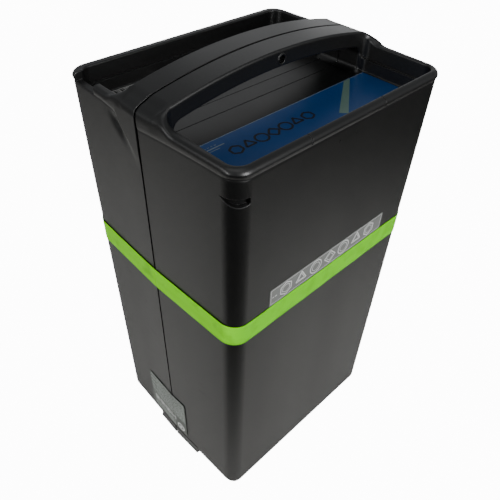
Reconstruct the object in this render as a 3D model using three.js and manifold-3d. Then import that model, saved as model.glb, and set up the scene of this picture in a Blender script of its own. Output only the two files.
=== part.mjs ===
// Removable battery pack for an electric moped: a two-half moulded case with an arched carrying handle,
// a cell stack, its electronics and a docking connector in the foot.
// Millimetres, +Z up.  X is the wide direction, the front face looks along -Y, and the origin is the
// middle of the footprint at the underside of the foot.

import * as THREE from "three";
import { mergeVertices } from "three/addons/utils/BufferGeometryUtils.js";
import Module from "manifold-3d";

const wasm = await Module();
wasm.setup();

// ---- Driving dimensions -------------------------------------------------------------------------

const FRONT = -1;
const REAR = 1;
const LEFT = -1;
const RIGHT = 1;

const caseSpec = {
  halfWidthAtFace: 95.2, // the side walls draw in from the seam to the front and rear faces
  halfWidthAtSeam: 97.6,
  halfDepth: 80,
  cornerRadius: 12.5,
  cornerSteps: 5,
  wall: 3,
  seamGap: 0.15, // each half stops this far from the seam plane
  footHeight: 3,
  rimTop: 353.5,
  beadFoot: 348, // the crease under the rolled rim
};

// Outset of the outer skin at each height: rounded lower edge, straight wall, rolled rim.
const skinLevels = [
  { z: caseSpec.footHeight, outset: -5 },
  { z: 4.6, outset: -2.3 },
  { z: 7.4, outset: -0.6 },
  { z: 10.6, outset: 0 },
  { z: caseSpec.beadFoot, outset: 0 },
  { z: 348.5, outset: 0.7 },
  { z: 351.2, outset: 0.5 },
  { z: 352.9, outset: -0.6 },
  { z: caseSpec.rimTop, outset: -2.4 },
];

const foot = { frontReach: 31, rearReach: 26, edge: 1.2, rootZ: 12 };

const tray = {
  halfWidth: 90,
  frontReach: 75,
  rearReach: 73,
  cornerRadius: 8,
  cornerSteps: 3,
  floorTop: 333,
  floorThickness: 3,
  ledgeZ: 342, // below this the tray is narrower by the ledge
  ledge: 2.5,
};

const handle = {
  crownZ: 371,
  topRadius: 450,
  endRadius: 11,
  halfDepth: 18,
  openingCrownZ: 359.7,
  openingRadius: 400,
  openingHalfWidth: 84,
  openingCorner: 5,
  topSteps: 14,
  endSteps: 4,
  skin: 3.2, // thickness of the hollow handle's top and skirt
  floor: 2.4, // thickness of its underside
  hollowHalfWidth: 78,
};

const handleScrew = { x: 1, z: 364.8, bossRadius: 4.2, headRadius: 2.2, shankRadius: 1.4, headSeat: 11.5 };
const caseScrew = {
  x: 77,
  heights: [24, 317],
  tubeRadius: 4.6,
  boreRadius: 3.6,
  shankRadius: 1.7,
  headRadius: 3.2,
  headHeight: 2.6,
  seatY: 8,
  bossReach: 26,
  shankTip: -16,
  webReach: 60,
};
const clearance = 0.35;

const band = { bottomZ: 215.3, topZ: 233.7, gap: 0.35, thickness: 0.6 };
const cornerSlot = { bottomZ: 328.6, topZ: 335.8, depth: 2.4, width: 15 };
const rimGap = { fromY: 47, toY: 69 }; // the lowered stretch of the rear half's left rim

const labelSheet = { gap: 0.3, thickness: 0.4 };
const topLabel = { edge: 3.4, rearY: -21.8 }; // edge: how far it stops inside the tray wall
const barcodeLabel = { left: -80, right: -31, frontY: 46, rearY: 71.5 };
const namePlate = { left: -63, right: 60, bottomZ: 234.4, topZ: 249.8 };
const ratingLabel = { frontY: -18, rearY: 36, bottomZ: 15.5, topZ: 70 };

const cells = {
  radius: 9.2,
  length: 65,
  pitch: 20.2,
  columns: 8,
  rows: 12,
  groupColumns: 4,
  groupRows: 3,
  sides: 8,
  bottomZ: 44,
  layerInnerY: 6, // distance from the seam plane to the inner ends of the cells
  plateThickness: 0.5,
  plateMargin: 1.6, // how far the nickel plates stop inside the group's own square
};
const cellFrame = { thickness: 1.2, gap: 0.3, reach: 18 };
const insulator = { halfWidth: 81.5, thickness: 1.5, bottomZ: 42.6, topZ: 289 };
const foamPad = { halfWidth: 74, thickness: 3, bottomZ: 50, topZ: 280 };
const cradle = {
  innerX: 44,
  outerX: 70,
  halfDepth: 68,
  bottomZ: 6.3,
  topZ: 42.2,
  wall: 4,
  passageZ: 28, // above this the leads pass through
};

const board = { halfWidth: 66, frontY: -60, rearY: 52, bottomZ: 300, thickness: 1.6, postRadius: 2.4 };
const heatSink = {
  halfWidth: 50,
  frontY: 8,
  rearY: 44,
  bottomZ: 309,
  base: 3,
  fin: 7,
  finCount: 6,
  finWidth: 1.6,
};
const transistor = { count: 7, width: 9, depth: 14, height: 7, firstX: -42, pitch: 14, y: 26 };
const fuse = { x: -50, y: -22, length: 32, width: 12, height: 10 };

const dock = {
  halfWidth: 36,
  halfDepth: 15.5,
  bottomZ: 1,
  topZ: 30,
  flangeReach: 4,
  flangeBottomZ: 6.4,
  flangeTopZ: 10,
  wall: 3,
  roof: 5,
  powerPocketX: 22,
  powerPocketHalfWidth: 10,
  signalPocketHalfWidth: 7,
};
const blade = { halfWidth: 6, halfDepth: 1.5, bottomZ: 6, topZ: 33 };
const signalPin = { radius: 0.9, pitch: 4, count: 3, bottomZ: 6 };

const lead = { radius: 2.5, y: -40, outerX: 87.2, boardX: 58, bottomZ: 36.5, sides: 8, steps: 26 };
const harness = { x: 83.2, thickness: 1.4, frontY: -66, rearY: -50, bottomZ: 60, topZ: 302.6 };
const gasket = { outerX: 94.2, width: 1.8, halfThickness: 1, bottomZ: 6.4, topZ: 329.6 };

// ---- Solids and booleans ------------------------------------------------------------------------

function toSolid(geometry) {
  const bare = geometry.clone();
  bare.deleteAttribute("normal");
  bare.deleteAttribute("uv");
  const merged = mergeVertices(bare, 1e-4);
  return new wasm.Manifold(
    new wasm.Mesh({
      numProp: 3,
      vertProperties: new Float32Array(merged.attributes.position.array),
      triVerts: new Uint32Array(merged.index.array),
    }),
  );
}

function toGeometry(solid) {
  const mesh = solid.getMesh();
  const geometry = new THREE.BufferGeometry();
  geometry.setAttribute("position", new THREE.BufferAttribute(new Float32Array(mesh.vertProperties), 3));
  geometry.setIndex(new THREE.BufferAttribute(new Uint32Array(mesh.triVerts), 1));
  geometry.computeVertexNormals();
  return geometry;
}

const join = (...solids) => solids.reduce((all, one) => all.add(one));
const cut = (base, ...tools) => tools.reduce((left, tool) => left.subtract(tool), base);

// A box between two corners.
function block(x0, x1, y0, y1, z0, z1) {
  const geometry = new THREE.BoxGeometry(x1 - x0, y1 - y0, z1 - z0);
  geometry.translate((x0 + x1) / 2, (y0 + y1) / 2, (z0 + z1) / 2);
  return toSolid(geometry);
}

// A cylinder along Y, which is how CylinderGeometry stands, from y0 to y1.
function rodAlongY(x, z, radius, y0, y1, sides = 12) {
  const geometry = new THREE.CylinderGeometry(radius, radius, y1 - y0, sides);
  geometry.translate(x, (y0 + y1) / 2, z);
  return toSolid(geometry);
}

// A closed solid through rings of equal length, listed from the bottom up and turning anticlockwise
// when seen from above.
function loft(rings) {
  const count = rings[0].length;
  const positions = rings.flat(2);
  const triangles = [];
  for (let level = 0; level + 1 < rings.length; level++) {
    for (let i = 0; i < count; i++) {
      const here = level * count + i;
      const next = level * count + ((i + 1) % count);
      triangles.push(here, next, next + count, here, next + count, here + count);
    }
  }
  const capOf = (ring) => ring.map(([x, y]) => new THREE.Vector2(x, y));
  const topOffset = (rings.length - 1) * count;
  for (const [a, b, c] of THREE.ShapeUtils.triangulateShape(capOf(rings[0]), [])) {
    triangles.push(c, b, a);
  }
  for (const [a, b, c] of THREE.ShapeUtils.triangulateShape(capOf(rings.at(-1)), [])) {
    triangles.push(topOffset + a, topOffset + b, topOffset + c);
  }
  const geometry = new THREE.BufferGeometry();
  geometry.setAttribute("position", new THREE.Float32BufferAttribute(positions, 3));
  geometry.setIndex(triangles);
  return toSolid(geometry);
}

const atHeight = (ring, z) => ring.map(([x, y]) => [x, y, z]);
const prism = (ring, z0, z1) => loft([atHeight(ring, z0), atHeight(ring, z1)]);

// An outline in the XZ plane, anticlockwise when seen along +Y, extruded from y0 to y1.
function slabAlongY(outline, y0, y1) {
  const shape = new THREE.Shape(outline.map(([x, z]) => new THREE.Vector2(x, z)));
  const geometry = new THREE.ExtrudeGeometry(shape, { depth: y1 - y0, bevelEnabled: false });
  geometry.rotateX(Math.PI / 2); // shape height becomes +Z and the depth runs along -Y
  geometry.translate(0, y1, 0);
  return toSolid(geometry);
}

function arc(cx, cy, radius, from, to, steps) {
  const points = [];
  for (let i = 0; i <= steps; i++) {
    const angle = from + ((to - from) * i) / steps;
    points.push([cx + radius * Math.cos(angle), cy + radius * Math.sin(angle)]);
  }
  return points;
}

// ---- Outlines -----------------------------------------------------------------------------------

// Plan outline of one half of the case, pushed out by outset, and ending at seamY measured from the
// seam plane towards the face.
function halfOutline(side, outset, seamY) {
  const { halfWidthAtFace, halfWidthAtSeam, halfDepth, cornerRadius, cornerSteps } = caseSpec;
  const radius = Math.max(cornerRadius + outset, 1);
  const cx = halfWidthAtFace + outset - radius;
  const cy = halfDepth + outset - radius;
  const draft = Math.atan2(halfWidthAtSeam - halfWidthAtFace, halfDepth - cornerRadius);
  const leftCorner = arc(-cx, -cy, radius, Math.PI + draft, 1.5 * Math.PI, cornerSteps);
  const rightCorner = arc(cx, -cy, radius, 1.5 * Math.PI, 2 * Math.PI - draft, cornerSteps);
  const seamX = halfWidthAtSeam + outset;
  const front = [[-seamX, -seamY], ...leftCorner, ...rightCorner, [seamX, -seamY]];
  return side === FRONT ? front : front.map(([x, y]) => [x, -y]).reverse();
}

// Plan outline of the whole case, pushed out by outset.
function fullOutline(outset) {
  return [...halfOutline(FRONT, outset, 0), ...halfOutline(REAR, outset, 0).slice(1, -1)];
}

// Plan outline of one half of the tray, inset by the ledge where it is narrower.
function trayOutline(side, inset) {
  const { halfWidth, cornerRadius, cornerSteps } = tray;
  const reach = (side === FRONT ? tray.frontReach : tray.rearReach) - inset / 2;
  const cx = halfWidth - inset - cornerRadius;
  const cy = reach - cornerRadius;
  const front = [
    [-(halfWidth - inset), 1],
    ...arc(-cx, -cy, cornerRadius, Math.PI, 1.5 * Math.PI, cornerSteps),
    ...arc(cx, -cy, cornerRadius, 1.5 * Math.PI, 2 * Math.PI, cornerSteps),
    [halfWidth - inset, 1],
  ];
  return side === FRONT ? front : front.map(([x, y]) => [x, -y]).reverse();
}

const archZ = (x, crown, radius) => crown - radius + Math.sqrt(radius * radius - x * x);

// Front view of the handle: its arched top with rounded ends, and the arched opening under it.
function handleOutline() {
  const { crownZ, topRadius, endRadius, endSteps, topSteps } = handle;
  const { openingCrownZ, openingRadius, openingHalfWidth, openingCorner } = handle;
  const edgeX = caseSpec.halfWidthAtSeam;
  const endX = edgeX - endRadius;
  const endZ = archZ(endX, crownZ, topRadius) - endRadius;
  const lowZ = tray.floorTop - 1;
  const top = [];
  for (let i = 1; i < topSteps; i++) {
    const x = endX - (2 * endX * i) / topSteps;
    top.push([x, archZ(x, crownZ, topRadius)]);
  }
  const cornerX = openingHalfWidth - openingCorner;
  const cornerZ = archZ(cornerX, openingCrownZ, openingRadius) - openingCorner;
  const opening = [];
  for (let i = 1; i < topSteps; i++) {
    const x = -cornerX + (2 * cornerX * i) / topSteps;
    opening.push([x, archZ(x, openingCrownZ, openingRadius)]);
  }
  return [
    [edgeX, lowZ],
    ...arc(endX, endZ, endRadius, 0, Math.PI / 2, endSteps),
    ...top,
    ...arc(-endX, endZ, endRadius, Math.PI / 2, Math.PI, endSteps),
    [-edgeX, lowZ],
    [-openingHalfWidth, lowZ],
    ...arc(-cornerX, cornerZ, openingCorner, Math.PI, Math.PI / 2, endSteps),
    ...opening,
    ...arc(cornerX, cornerZ, openingCorner, Math.PI / 2, 0, endSteps),
    [openingHalfWidth, lowZ],
  ];
}

// Front view of the hollow between the handle's top and its underside.
function handleHollowOutline() {
  const { crownZ, topRadius, openingCrownZ, openingRadius, hollowHalfWidth, skin, floor, topSteps } = handle;
  const top = [];
  const underside = [];
  for (let i = 0; i <= topSteps; i++) {
    const x = hollowHalfWidth - (2 * hollowHalfWidth * i) / topSteps;
    top.push([x, archZ(x, crownZ - skin, topRadius)]);
    underside.push([-x, archZ(x, openingCrownZ + floor, openingRadius)]);
  }
  return [...top, ...underside];
}

// ---- Case halves --------------------------------------------------------------------------------

const alongSide = (side, near, far) => (side === FRONT ? [-far, -near] : [near, far]);

// One half of the handle, trimmed to the plan outline of the case.
function handleHalf(side) {
  const { halfDepth, skin } = handle;
  const { seamGap } = caseSpec;
  const [y0, y1] = alongSide(side, seamGap, halfDepth);
  const [hollow0, hollow1] = alongSide(side, -1, halfDepth - skin);
  const bar = slabAlongY(handleOutline(), y0, y1);
  const trim = prism(halfOutline(side, 0, seamGap), tray.floorTop - 5, handle.crownZ + 5);
  const hollow = slabAlongY(handleHollowOutline(), hollow0, hollow1);
  const boss = rodAlongY(handleScrew.x, handleScrew.z, handleScrew.bossRadius, y0, y1);
  const web = block(handleScrew.x - 1, handleScrew.x + 1, y0, y1, handleScrew.z, handle.crownZ - 2);
  return join(cut(bar.intersect(trim), hollow), boss, web);
}

// The outer skin, hollowed, with its foot, tray and half handle.
function shellBody(side) {
  const { wall, seamGap, footHeight, rimTop } = caseSpec;
  const skin = loft(skinLevels.map(({ z, outset }) => atHeight(halfOutline(side, outset, seamGap), z)));
  const footRing = (outset) => halfOutline(side, outset, seamGap);
  const footSkin = loft([
    atHeight(footRing(-foot.edge), 0),
    atHeight(footRing(0), foot.edge),
    atHeight(footRing(0), foot.rootZ),
  ]);
  const [footY0, footY1] = alongSide(side, 0, side === FRONT ? foot.frontReach : foot.rearReach);
  const footSlab = block(-100, 100, footY0, footY1, -1, foot.rootZ + 1);
  const cavityTop = tray.floorTop - tray.floorThickness;
  const cavity = prism(halfOutline(side, -wall, -1), footHeight + wall, cavityTop);
  const upperTray = prism(trayOutline(side, 0), tray.ledgeZ, rimTop + 5);
  const lowerTray = prism(trayOutline(side, tray.ledge), tray.floorTop, tray.ledgeZ + 1);
  const outer = join(skin, footSkin.intersect(footSlab));
  return join(cut(outer, cavity, upperTray, lowerTray), handleHalf(side));
}

// The opening in the underside through which the docking connector shows.
function dockOpening() {
  const { halfWidth, halfDepth } = dock;
  const x = halfWidth + clearance;
  const y = halfDepth + clearance;
  return block(-x, x, -y, y, -1, caseSpec.footHeight + caseSpec.wall + 1);
}

const screwPlaces = [LEFT, RIGHT].flatMap((side) =>
  caseScrew.heights.map((z) => ({ x: side * caseScrew.x, z })),
);

// A thin web that ties a screw tube to the nearest side wall.
function screwWeb({ x, z }, y0, y1) {
  const outward = Math.sign(x);
  const reach = outward * (caseSpec.halfWidthAtFace - 1.5);
  return block(Math.min(x, reach), Math.max(x, reach), y0, y1, z - 1, z + 1);
}

function makeFrontShell() {
  const { seamGap, halfDepth, halfWidthAtFace, cornerRadius } = caseSpec;
  const { tubeRadius, bossReach, shankRadius, shankTip } = caseScrew;
  const bosses = screwPlaces.map((place) => {
    const tube = rodAlongY(place.x, place.z, tubeRadius, -bossReach, -seamGap);
    return join(tube, screwWeb(place, -bossReach, -2));
  });
  const pilots = screwPlaces.map(({ x, z }) =>
    rodAlongY(x, z, shankRadius + clearance, shankTip - 2, 1),
  );
  const headBore = rodAlongY(
    handleScrew.x,
    handleScrew.z,
    handleScrew.headRadius + clearance,
    -handle.halfDepth - 1,
    -handleScrew.headSeat,
  );
  const shankBore = rodAlongY(handleScrew.x, handleScrew.z, handleScrew.shankRadius + clearance, -20, 1);
  const slotHeight = cornerSlot.topZ - cornerSlot.bottomZ;
  const slot = new THREE.BoxGeometry(cornerSlot.width, 2 * cornerSlot.depth, slotHeight);
  slot.rotateZ(-Math.PI / 4);
  const diagonal = cornerRadius * Math.SQRT1_2;
  slot.translate(
    -(halfWidthAtFace - cornerRadius + diagonal),
    -(halfDepth - cornerRadius + diagonal),
    cornerSlot.bottomZ + slotHeight / 2,
  );
  return cut(
    join(shellBody(FRONT), ...bosses),
    ...pilots,
    headBore,
    shankBore,
    toSolid(slot),
    dockOpening(),
  );
}

function makeRearShell() {
  const { seamGap, halfDepth, beadFoot, rimTop } = caseSpec;
  const { tubeRadius, boreRadius, seatY, shankRadius, webReach } = caseScrew;
  const tubes = screwPlaces.map((place) => {
    const tube = rodAlongY(place.x, place.z, tubeRadius, seamGap, halfDepth - 1);
    return join(tube, screwWeb(place, 2, webReach));
  });
  const bores = screwPlaces.map(({ x, z }) => rodAlongY(x, z, boreRadius, seatY, halfDepth + 1));
  const throats = screwPlaces.map(({ x, z }) => rodAlongY(x, z, shankRadius + clearance, -1, seatY + 1));
  const pilot = rodAlongY(handleScrew.x, handleScrew.z, handleScrew.shankRadius + clearance, -1, 13);
  const gap = block(-100, -tray.halfWidth + 3, rimGap.fromY, rimGap.toY, beadFoot, rimTop + 1);
  return cut(join(shellBody(REAR), ...tubes), ...bores, ...throats, pilot, gap, dockOpening());
}

function makeCaseGasket() {
  const { outerX, width, halfThickness, bottomZ, topZ } = gasket;
  const outer = block(-outerX, outerX, -halfThickness, halfThickness, bottomZ, topZ);
  const innerX = outerX - width;
  const hole = block(-innerX, innerX, -2, 2, bottomZ + width, topZ - width);
  const dockX = dock.halfWidth + dock.flangeReach + 1;
  const dockBreak = block(-dockX, dockX, -2, 2, bottomZ - 1, bottomZ + width + 1);
  return cut(outer, hole, dockBreak);
}

// ---- Band and labels ----------------------------------------------------------------------------

function makeBand() {
  const { bottomZ, topZ, gap, thickness } = band;
  const outside = prism(fullOutline(gap + thickness), bottomZ, topZ);
  return cut(outside, prism(fullOutline(gap), bottomZ - 1, topZ + 1));
}

function flatLabel(x0, x1, y0, y1) {
  const z = tray.floorTop + labelSheet.gap;
  return block(x0, x1, y0, y1, z, z + labelSheet.thickness);
}

// The film that covers the front half of the tray floor, with rounded front corners.
function makeTopLabel() {
  const z = tray.floorTop + labelSheet.gap;
  const sheet = prism(trayOutline(FRONT, topLabel.edge), z, z + labelSheet.thickness);
  return sheet.intersect(block(-100, 100, -100, topLabel.rearY, z - 1, z + 1));
}

const makeBarcodeLabel = () =>
  flatLabel(barcodeLabel.left, barcodeLabel.right, barcodeLabel.frontY, barcodeLabel.rearY);

function makeNamePlate() {
  const y = -caseSpec.halfDepth - labelSheet.gap;
  const { left, right, bottomZ, topZ } = namePlate;
  return block(left, right, y - labelSheet.thickness, y, bottomZ, topZ);
}

// The film on the left side, which follows both drafted walls across the seam.
function makeRatingLabel() {
  const { frontY, rearY, bottomZ, topZ } = ratingLabel;
  const { gap, thickness } = labelSheet;
  const { halfWidthAtSeam, halfWidthAtFace, halfDepth, cornerRadius } = caseSpec;
  const slope = (halfWidthAtSeam - halfWidthAtFace) / (halfDepth - cornerRadius);
  const wallX = (y) => halfWidthAtSeam - slope * Math.abs(y);
  const inner = [rearY, 0, frontY].map((y) => [-wallX(y) - gap, y]);
  const outer = [frontY, 0, rearY].map((y) => [-wallX(y) - gap - thickness, y]);
  const ring = [...inner, ...outer];
  return prism(ring.reverse(), bottomZ, topZ);
}

// ---- Screws -------------------------------------------------------------------------------------

function makeHandleScrew() {
  const { x, z, headRadius, shankRadius, headSeat } = handleScrew;
  const seat = -headSeat - clearance;
  const head = rodAlongY(x, z, headRadius, seat - 2, seat);
  return join(head, rodAlongY(x, z, shankRadius, seat - 0.5, 12, 8));
}

function makeCaseScrew({ x, z }) {
  const { headRadius, headHeight, seatY, shankRadius, shankTip } = caseScrew;
  const seat = seatY + clearance;
  const head = rodAlongY(x, z, headRadius, seat, seat + headHeight);
  return join(head, rodAlongY(x, z, shankRadius, shankTip, seat + 0.5, 8));
}

// ---- Cell stack ---------------------------------------------------------------------------------

const stackLeft = (-cells.columns * cells.pitch) / 2;
const stackTop = cells.bottomZ + cells.rows * cells.pitch;

// Twelve cells side by side, welded into one parallel group by a nickel plate at each end.
function makeCellGroup(side, groupColumn, groupRow) {
  const { radius, length, pitch, sides, layerInnerY, plateThickness, plateMargin } = cells;
  const [y0, y1] = alongSide(side, layerInnerY, layerInnerY + length);
  const x0 = stackLeft + groupColumn * cells.groupColumns * pitch;
  const z0 = cells.bottomZ + groupRow * cells.groupRows * pitch;
  const x1 = x0 + cells.groupColumns * pitch;
  const z1 = z0 + cells.groupRows * pitch;
  const parts = [y0 - plateThickness, y1].map((y) =>
    block(x0 + plateMargin, x1 - plateMargin, y, y + plateThickness, z0 + plateMargin, z1 - plateMargin),
  );
  for (let column = 0; column < cells.groupColumns; column++) {
    for (let row = 0; row < cells.groupRows; row++) {
      const x = x0 + (column + 0.5) * pitch;
      const z = z0 + (row + 0.5) * pitch;
      parts.push(rodAlongY(x, z, radius, y0, y1, sides));
    }
  }
  return join(...parts);
}

// The plastic surround that keeps one layer of cells square, ribbed between the four bands of groups.
function makeCellFrame(side) {
  const { thickness, gap, reach } = cellFrame;
  const middle = cells.layerInnerY + cells.length / 2;
  const [y0, y1] = alongSide(side, middle - reach, middle + reach);
  const x = -stackLeft + gap;
  const z0 = cells.bottomZ - gap;
  const z1 = stackTop + gap;
  const outer = block(-x - thickness, x + thickness, y0, y1, z0 - thickness, z1 + thickness);
  return cut(outer, block(-x, x, y0 - 1, y1 + 1, z0, z1));
}

function makeMiddleInsulator() {
  const { halfWidth, thickness, bottomZ, topZ } = insulator;
  return block(-halfWidth, halfWidth, -thickness / 2, thickness / 2, bottomZ, topZ);
}

function makeFoamPad(side) {
  const { halfWidth, thickness, bottomZ, topZ } = foamPad;
  const inner = cells.layerInnerY + cells.length + cells.plateThickness + clearance;
  const [y0, y1] = alongSide(side, inner, inner + thickness);
  return block(-halfWidth, halfWidth, y0, y1, bottomZ, topZ);
}

// One of the two plastic channels that the stack stands on.
function makeCradle(side) {
  const { innerX, outerX, halfDepth, bottomZ, topZ, wall, passageZ } = cradle;
  const [x0, x1] = side === LEFT ? [-outerX, -innerX] : [innerX, outerX];
  const outer = block(x0, x1, -halfDepth, halfDepth, bottomZ, topZ);
  const channel = block(x0 + wall, x1 - wall, -halfDepth - 1, halfDepth + 1, bottomZ - 1, topZ - wall);
  const gasketRoom = gasket.halfThickness + clearance;
  const gasketTop = gasket.bottomZ + gasket.width + clearance;
  const gasketNotch = block(x0 - 1, x1 + 1, -gasketRoom, gasketRoom, bottomZ - 1, gasketTop);
  const leadPassage = block(x0 - 1, x1 + 1, lead.y - 5, lead.y + 18, passageZ, topZ + 1);
  return cut(outer, channel, gasketNotch, leadPassage);
}

// ---- Electronics --------------------------------------------------------------------------------

const boardTop = board.bottomZ + board.thickness;

function makeManagementBoard() {
  const { halfWidth, frontY, rearY, bottomZ, postRadius } = board;
  const plate = block(-halfWidth, halfWidth, frontY, rearY, bottomZ, boardTop);
  const posts = [-1, 1].flatMap((sx) =>
    [frontY + 6, rearY - 6].map((y) => {
      const geometry = new THREE.CylinderGeometry(postRadius, postRadius, bottomZ + 0.5 - stackTop - 2.5, 8);
      geometry.rotateX(Math.PI / 2);
      geometry.translate(sx * (halfWidth - 8), y, (bottomZ + 0.5 + stackTop + 2.5) / 2);
      return toSolid(geometry);
    }),
  );
  const transistors = Array.from({ length: transistor.count }, (_, i) => {
    const x = transistor.firstX + i * transistor.pitch;
    const { width, depth, height, y } = transistor;
    const y0 = y - depth / 2;
    return block(x - width / 2, x + width / 2, y0, y0 + depth, boardTop - 0.5, boardTop + height);
  });
  const processor = block(18, 32, -30, -16, boardTop - 0.5, boardTop + 1.6);
  const balanceSocket = block(48, 58, -58, -30, boardTop - 0.5, boardTop + 6);
  const shunt = block(-22, 4, -48, -40, boardTop - 0.5, boardTop + 3);
  return join(plate, ...posts, ...transistors, processor, balanceSocket, shunt);
}

function makeHeatSink() {
  const { halfWidth, frontY, rearY, bottomZ, base, fin, finCount, finWidth } = heatSink;
  const plate = block(-halfWidth, halfWidth, frontY, rearY, bottomZ, bottomZ + base);
  const spacing = (rearY - frontY - finWidth) / (finCount - 1);
  const fins = Array.from({ length: finCount }, (_, i) => {
    const y = frontY + i * spacing;
    return block(-halfWidth, halfWidth, y, y + finWidth, bottomZ + base - 0.5, bottomZ + base + fin);
  });
  return join(plate, ...fins);
}

function makeMainFuse() {
  const { x, y, length, width, height } = fuse;
  const z0 = boardTop + 0.4;
  const body = block(x - width / 2, x + width / 2, y - length / 2 + 7, y + length / 2 - 7, z0, z0 + height);
  const blades = block(x - width / 4, x + width / 4, y - length / 2, y + length / 2, z0 + 2, z0 + 4);
  return join(body, blades);
}

// A cable from the board, down beside the stack and in under it to the docking connector.
function makeLead(side) {
  const { radius, y, outerX, boardX, bottomZ, sides, steps } = lead;
  const boardZ = boardTop + radius + 0.5;
  const route = new THREE.CatmullRomCurve3(
    [
      [boardX, y, boardZ],
      [boardX + 14, y, boardZ],
      [outerX - 6, y, boardZ - 1],
      [outerX, y, boardZ - 12],
      [outerX, y, boardZ - 60],
      [outerX, y, 160],
      [outerX, y, bottomZ + 60],
      [outerX, y, bottomZ + 7],
      [outerX - 3.5, y, bottomZ - 1],
      [outerX - 12, y, bottomZ - 3],
      [outerX - 26, y + 2, bottomZ - 4],
      [dock.powerPocketX + 22, y + 14, bottomZ - 2],
      [dock.powerPocketX, -blade.halfDepth - radius - 3, bottomZ - 3],
    ].map(([px, py, pz]) => new THREE.Vector3(side * px, py, pz)),
    false,
    "centripetal",
  );
  const section = new THREE.Shape(
    arc(0, 0, radius, 0, 2 * Math.PI * (1 - 1 / sides), sides - 1).map(([a, b]) => new THREE.Vector2(a, b)),
  );
  return toSolid(new THREE.ExtrudeGeometry(section, { steps, extrudePath: route, bevelEnabled: false }));
}

// The flat ribbon of sensing wires up the right side of the stack and over to the board.
function makeBalanceHarness() {
  const { x, thickness, frontY, rearY, bottomZ, topZ } = harness;
  const run = block(x, x + thickness, frontY, rearY, bottomZ, topZ);
  const over = block(board.halfWidth - 7, x + thickness, frontY, rearY, topZ - thickness + 0.4, topZ + 0.4);
  return join(run, over);
}

// ---- Docking connector --------------------------------------------------------------------------

function makeDockHousing() {
  const { halfWidth, halfDepth, bottomZ, topZ, wall, roof } = dock;
  const { flangeReach, flangeBottomZ, flangeTopZ } = dock;
  const { powerPocketX, powerPocketHalfWidth, signalPocketHalfWidth } = dock;
  const body = block(-halfWidth, halfWidth, -halfDepth, halfDepth, bottomZ, topZ);
  const flangeX = halfWidth + flangeReach;
  const flangeY = halfDepth + flangeReach;
  const flange = block(-flangeX, flangeX, -flangeY, flangeY, flangeBottomZ, flangeTopZ);
  const pocket = (x, half) =>
    block(x - half, x + half, -halfDepth + wall, halfDepth - wall, bottomZ - 1, topZ - roof);
  const bladeSlots = [LEFT, RIGHT].map((side) => {
    const x = side * powerPocketX;
    const halfX = blade.halfWidth + clearance;
    const halfY = blade.halfDepth + clearance;
    return block(x - halfX, x + halfX, -halfY, halfY, topZ - roof - 1, topZ + 1);
  });
  const pinSlotX = signalPocketHalfWidth - 1;
  const pinSlot = block(-pinSlotX, pinSlotX, -2, 2, topZ - roof - 1, topZ + 1);
  return cut(
    join(body, flange),
    pocket(-powerPocketX, powerPocketHalfWidth),
    pocket(powerPocketX, powerPocketHalfWidth),
    pocket(0, signalPocketHalfWidth),
    ...bladeSlots,
    pinSlot,
  );
}

function makePowerContact(side) {
  const x = side * dock.powerPocketX;
  const { halfWidth, halfDepth, bottomZ, topZ } = blade;
  return block(x - halfWidth, x + halfWidth, -halfDepth, halfDepth, bottomZ, topZ);
}

// Three pins held by a small moulded bar.
function makeSignalContacts() {
  const { radius, pitch, count, bottomZ } = signalPin;
  const barHalf = dock.signalPocketHalfWidth - 1 - clearance;
  const barZ = dock.topZ - dock.roof + 0.5;
  const bar = block(-barHalf, barHalf, -2 + clearance, 2 - clearance, barZ, dock.topZ + 2);
  const pins = Array.from({ length: count }, (_, i) => {
    const geometry = new THREE.CylinderGeometry(radius, radius, barZ + 1 - bottomZ, 8);
    geometry.rotateX(Math.PI / 2);
    geometry.translate((i - (count - 1) / 2) * pitch, 0, (barZ + 1 + bottomZ) / 2);
    return toSolid(geometry);
  });
  return join(bar, ...pins);
}

// ---- Finishes -----------------------------------------------------------------------------------

const finish = (color, roughness, metalness = 0) =>
  new THREE.MeshStandardMaterial({ color, roughness, metalness });

const finishes = {
  casePlastic: () => finish(0x1b1c1d, 0.42),
  rubber: () => finish(0x202020, 0.9),
  greenFilm: () => finish(0x7cc22a, 0.5),
  blueFilm: () => finish(0x0a4f8a, 0.25),
  paper: () => finish(0xb9bbb8, 0.6),
  silverFilm: () => finish(0x9a9c9e, 0.35, 0.4),
  ratingFilm: () => finish(0x3c4743, 0.3),
  steel: () => finish(0x8a8c8f, 0.3, 1),
  cellJacket: () => finish(0x3f7fb5, 0.4),
  framePlastic: () => finish(0x2b2b2b, 0.6),
  insulation: () => finish(0x8fae8a, 0.8),
  foam: () => finish(0x4a4a4a, 0.95),
  circuitBoard: () => finish(0x14532d, 0.5),
  aluminium: () => finish(0xb5b8bb, 0.4, 1),
  fuseBody: () => finish(0x6b4a1f, 0.5),
  redWire: () => finish(0xa3201c, 0.5),
  blackWire: () => finish(0x161616, 0.5),
  ribbon: () => finish(0xd6d2c4, 0.6),
  connector: () => finish(0x2a2a2c, 0.5),
  copper: () => finish(0xb87333, 0.3, 1),
};

// ---- Assembly -----------------------------------------------------------------------------------

const pack = new THREE.Group();

function place(name, solid, material) {
  const mesh = new THREE.Mesh(toGeometry(solid), material);
  mesh.name = name;
  pack.add(mesh);
}

place("front_shell", makeFrontShell(), finishes.casePlastic());
place("rear_shell", makeRearShell(), finishes.casePlastic());
place("case_gasket", makeCaseGasket(), finishes.rubber());
place("green_band", makeBand(), finishes.greenFilm());
place("top_label", makeTopLabel(), finishes.blueFilm());
place("barcode_label", makeBarcodeLabel(), finishes.paper());
place("name_plate", makeNamePlate(), finishes.silverFilm());
place("rating_label", makeRatingLabel(), finishes.ratingFilm());
place("handle_screw", makeHandleScrew(), finishes.steel());
screwPlaces.forEach((spot, i) => place(`case_screw_${i + 1}`, makeCaseScrew(spot), finishes.steel()));

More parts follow.
